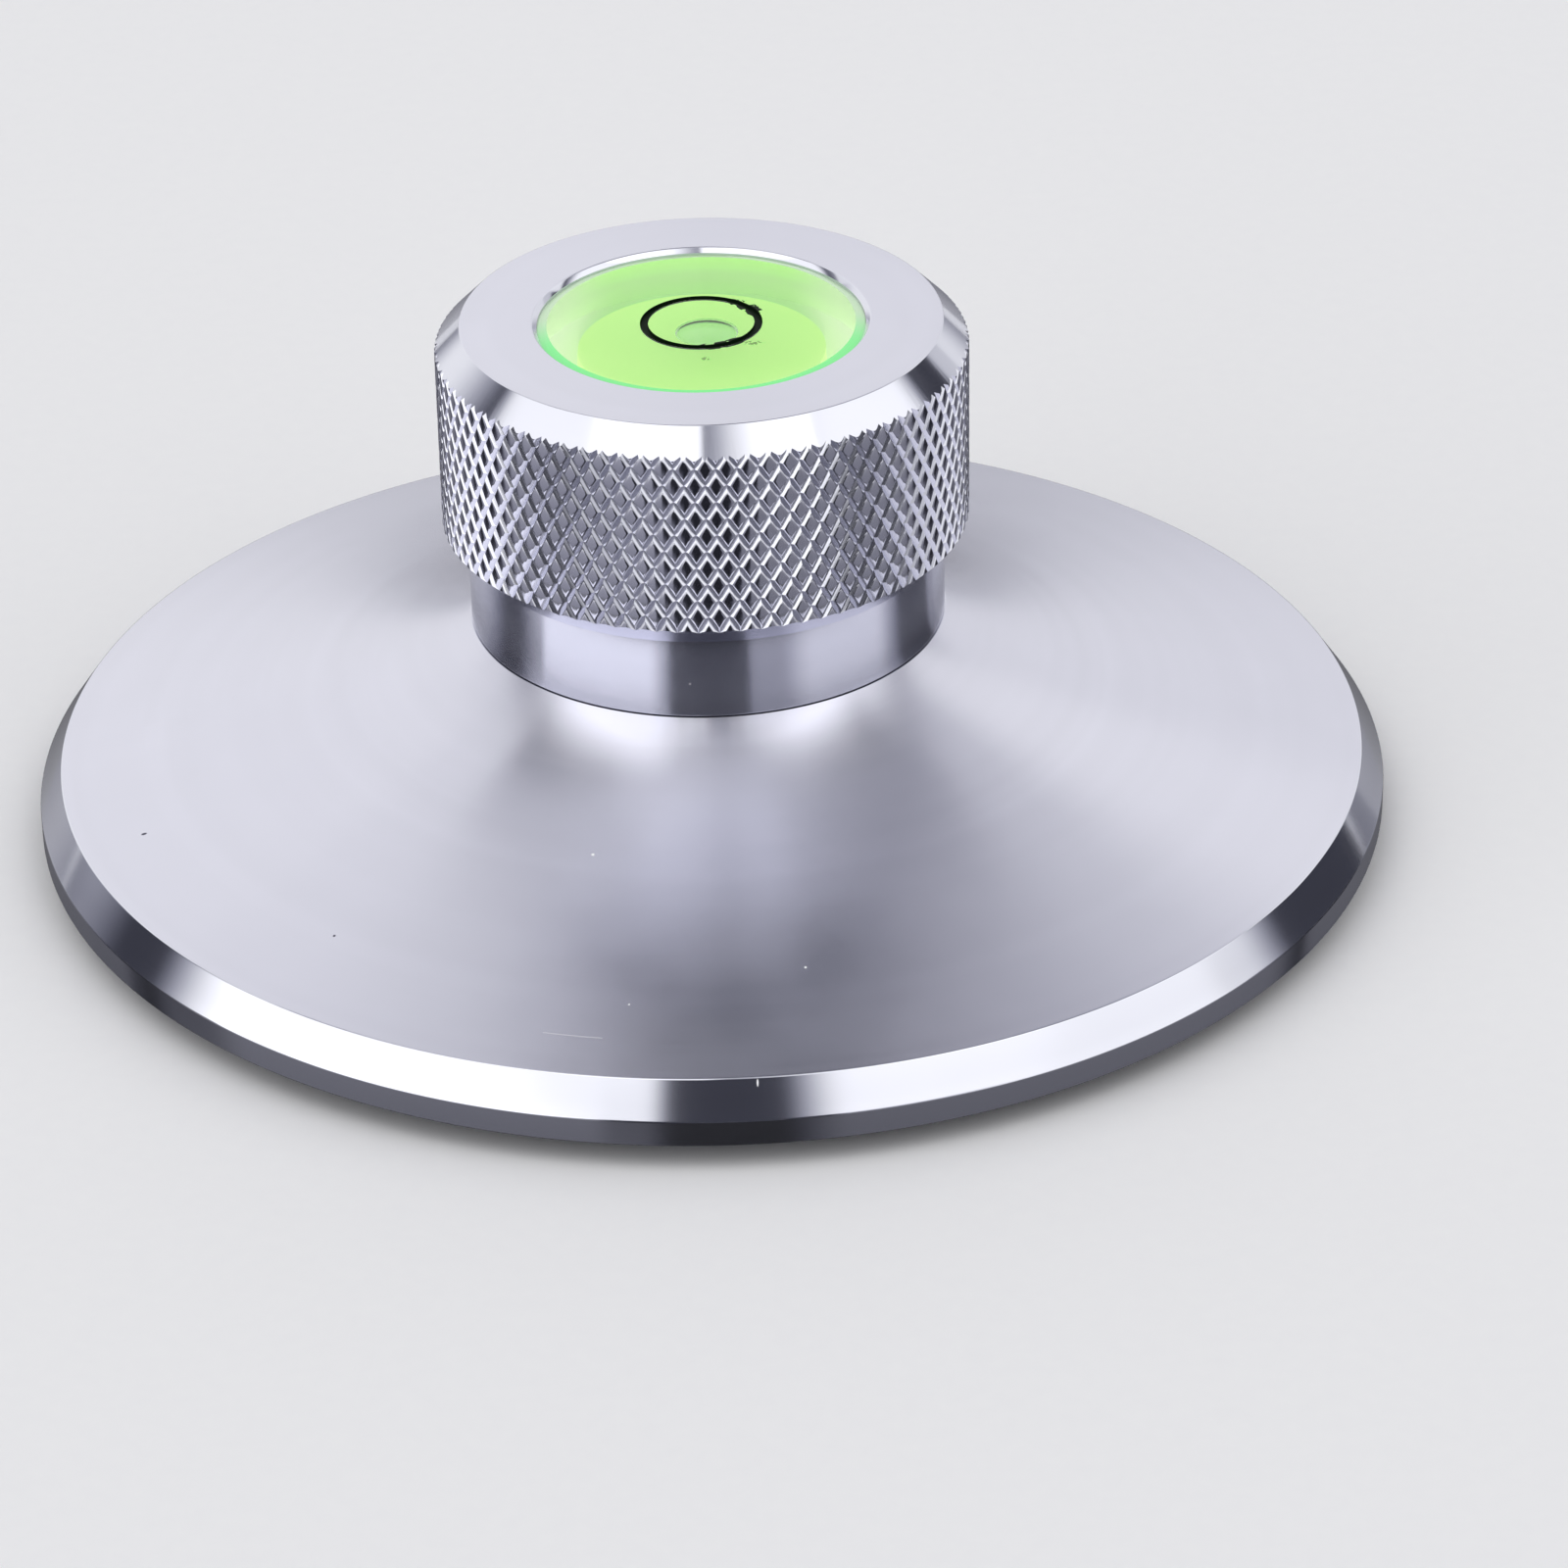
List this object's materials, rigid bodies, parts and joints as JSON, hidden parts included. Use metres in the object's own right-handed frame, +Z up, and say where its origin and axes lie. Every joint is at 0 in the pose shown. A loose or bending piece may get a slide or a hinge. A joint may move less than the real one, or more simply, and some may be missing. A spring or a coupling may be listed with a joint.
{
  "type": "record weight",
  "caption": "Turned metal weight that stands on a spinning record, with a flared foot, a knurled knob and a round spirit level.",
  "frame": {"origin": "on the weight's axis, on the surface of the record that it stands on", "axes": "+Z up along the spindle's axis, from the pad to the level; -Y towards the viewer"},
  "size_m": [0.079, 0.079, 0.0316],
  "materials": {
    "satin_aluminium": "satin, turned",
    "bright_aluminium": "bright, turned and knurled",
    "clear_acrylic": "clear, polished",
    "white_plastic": "matt",
    "green_spirit": "clear, tinted",
    "black_rubber": "matt"
  },
  "bodies": {
    "root": {"foot": "satin_aluminium", "knob": "bright_aluminium", "level_housing": "clear_acrylic", "level_base": "white_plastic", "level_liquid": "green_spirit", "pad": "black_rubber"}
  },
  "joints": []
}
